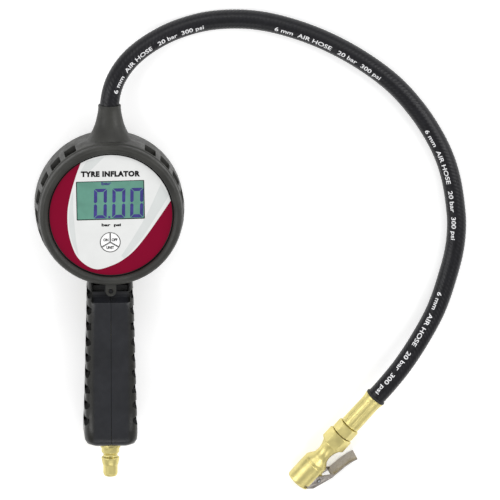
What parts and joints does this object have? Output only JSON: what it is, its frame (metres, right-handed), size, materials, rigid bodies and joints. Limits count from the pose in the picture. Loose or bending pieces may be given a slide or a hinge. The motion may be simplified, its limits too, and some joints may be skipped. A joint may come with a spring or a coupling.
{
  "type": "digital tyre inflator",
  "caption": "Hand-held tyre inflator: round digital gauge in a rubber boot, moulded grip with a squeeze lever, air inlet plug and a rubber hose ending in a clip-on chuck.",
  "frame": {"origin": "centre of the gauge head's flat back, on the surface that the tool lies on", "axes": "+Z out of the dial, +Y towards the hose outlet, -Y down the handle to the inlet plug, +X to the right of the dial"},
  "size_m": [0.2814, 0.3205, 0.042],
  "materials": {
    "boot_rubber": "moulded rubber, matt with a soft sheen",
    "grip_plastic": "glass-filled nylon, fine moulded texture",
    "hose_rubber": "extruded rubber with a wrapped-fabric imprint",
    "black_plastic": "moulded ABS",
    "white_panel": "printed film on ABS",
    "key_film": "printed key film",
    "clear_plastic": "clear polycarbonate",
    "liquid_crystal": "liquid crystal display",
    "circuit_board": "solder-masked glass-fibre board",
    "silicone": "silicone rubber",
    "brass": "turned brass, satin",
    "steel": "pressed and brushed steel",
    "zinc": "die-cast zinc alloy",
    "nitrile": "nitrile rubber",
    "bronze": "sintered bronze",
    "cell_jacket": "printed cell jacket"
  },
  "bodies": {
    "inflator": {"gauge_boot": "boot_rubber", "gauge_case": "black_plastic", "front_panel": "white_panel", "lcd_window": "clear_plastic", "lcd_module": "liquid_crystal", "backlight": "clear_plastic", "key_mat": "silicone", "circuit_board": "circuit_board", "pressure_sensor": "steel", "sensor_seal": "nitrile", "battery_holder": "black_plastic", "battery_1": "cell_jacket", "battery_2": "cell_jacket", "front_battery_contact": "steel", "rear_battery_contact": "steel", "battery_cover": "black_plastic", "cover_screw_1": "steel", "cover_screw_2": "steel", "valve_body": "zinc", "valve_spring": "steel", "stem_guide": "brass", "valve_cap": "brass", "cap_seal": "nitrile", "inlet_plug": "brass", "inlet_washer": "nitrile", "inlet_filter": "bronze", "hose_nipple": "brass", "hose_crimp_sleeve": "steel", "left_grip_shell": "grip_plastic", "right_grip_shell": "grip_plastic", "grip_screw": "steel", "boot_tab_screw": "steel", "trigger_pin": "steel", "hose": "hose_rubber", "hose_ferrule": "brass", "hose_collar": "brass", "chuck_body": "brass", "chuck_lever_pin": "steel", "chuck_lever_spring": "steel", "chuck_seal": "nitrile", "valve_depressor": "brass"},
    "trigger": {"trigger_lever": "grip_plastic"},
    "stem": {"valve_stem": "brass", "stem_seal": "nitrile"},
    "on_button": {"on_key": "key_film"},
    "off_button": {"off_key": "key_film"},
    "unit_button": {"unit_key": "key_film"},
    "clip": {"chuck_lever": "steel"}
  },
  "joints": [
    {"name": "trigger_hinge", "type": "hinge", "parent": "inflator", "child": "trigger", "pos_m": [0, -0.06, 0.009], "axis": [-1, 0, 0], "range_deg": [0, 6], "stiffness_Nm_per_rad": 2, "springref_deg": -8.59},
    {"name": "stem_slide", "type": "slide", "parent": "inflator", "child": "stem", "axis": [0, 0, 1], "range_m": [0, 0.002], "deforming": ["valve_spring"]},
    {"name": "on_key_slide", "type": "slide", "parent": "inflator", "child": "on_button", "axis": [0, 0, -1], "range_m": [0, 0.0004], "stiffness_N_per_m": 1500},
    {"name": "off_key_slide", "type": "slide", "parent": "inflator", "child": "off_button", "axis": [0, 0, -1], "range_m": [0, 0.0004], "stiffness_N_per_m": 1500},
    {"name": "unit_key_slide", "type": "slide", "parent": "inflator", "child": "unit_button", "axis": [0, 0, -1], "range_m": [0, 0.0004], "stiffness_N_per_m": 1500},
    {"name": "clip_hinge", "type": "hinge", "parent": "inflator", "child": "clip", "pos_m": [0.13559, -0.18456, 0.00676], "axis": [0.2234, -0.314, 0.9228], "range_deg": [0, 12], "stiffness_Nm_per_rad": 0.2, "springref_deg": -14.32}
  ],
  "couplings": [
    {"joint": "stem_slide", "follows": "trigger_hinge", "m_per_rad": 0.018}
  ]
}
